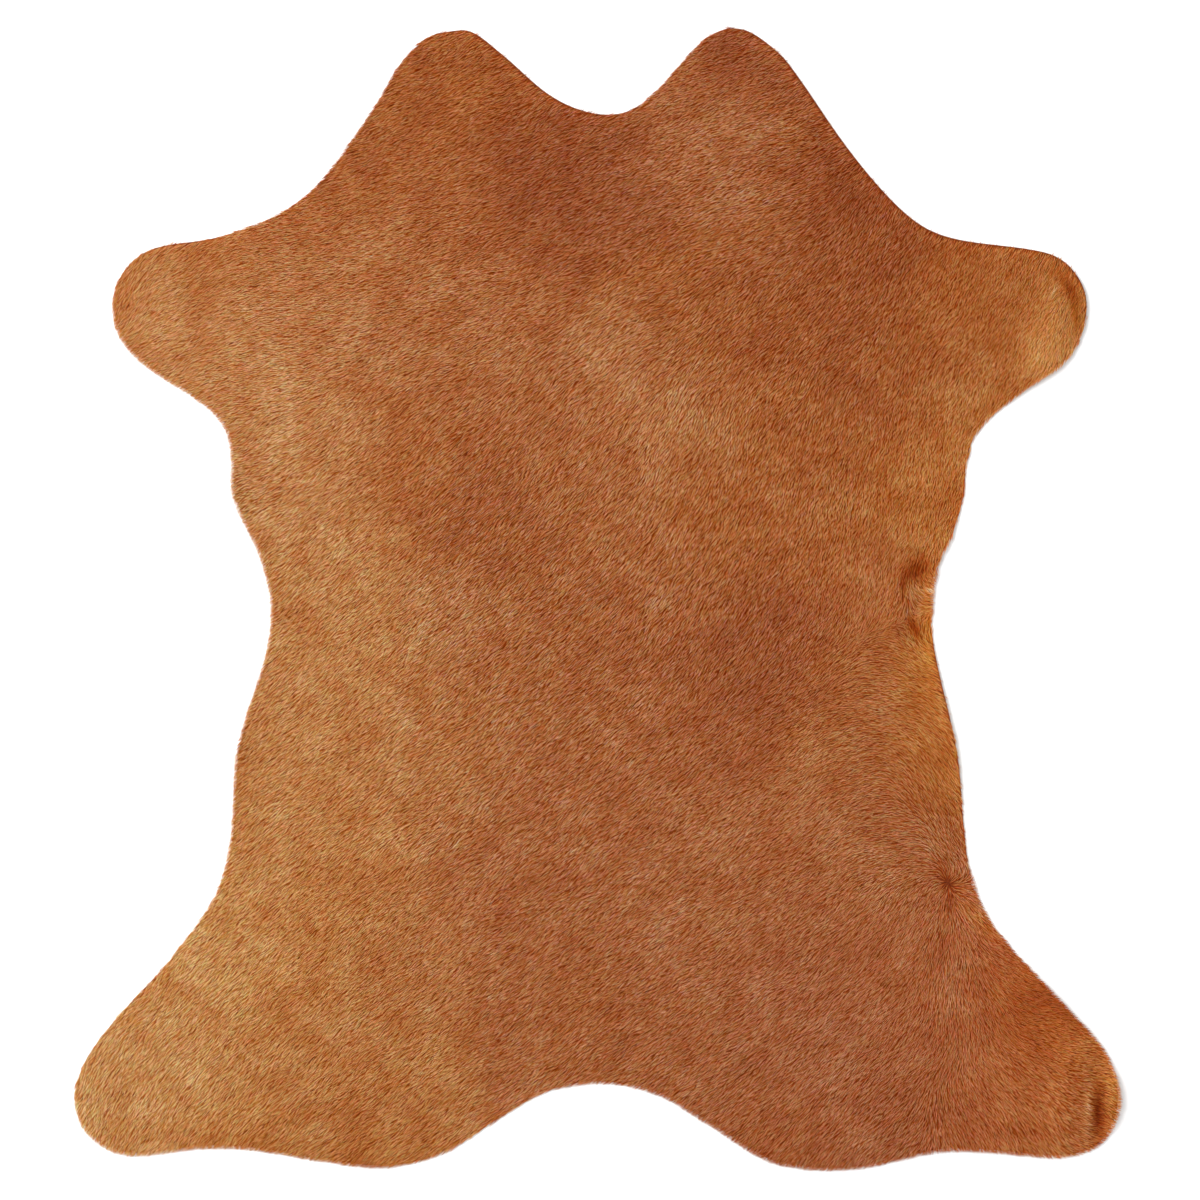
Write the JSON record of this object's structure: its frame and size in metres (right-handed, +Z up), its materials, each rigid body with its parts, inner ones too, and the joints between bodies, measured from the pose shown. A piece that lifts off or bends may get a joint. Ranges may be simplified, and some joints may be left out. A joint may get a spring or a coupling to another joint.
{
  "type": "calf hide with hair on",
  "caption": "Whole small calf hide with its short tan hair on, lying flat, hair side up, with neck lobes, forelegs, hind legs and an arch between them.",
  "frame": {"origin": "on the floor, under the middle of the hide's length and width", "axes": "+Z up out of the hair side, +Y along the spine towards the neck, +X to the right seen from above with the neck away from the viewer"},
  "size_m": [0.87, 0.951, 0.011],
  "materials": {
    "hair_coat": "short combed hair, reddish tan, soft shine",
    "flesh_side": "matt suede underside and cut edge, pale tan"
  },
  "bodies": {
    "root": {"hide": "hair_coat"}
  },
  "joints": []
}
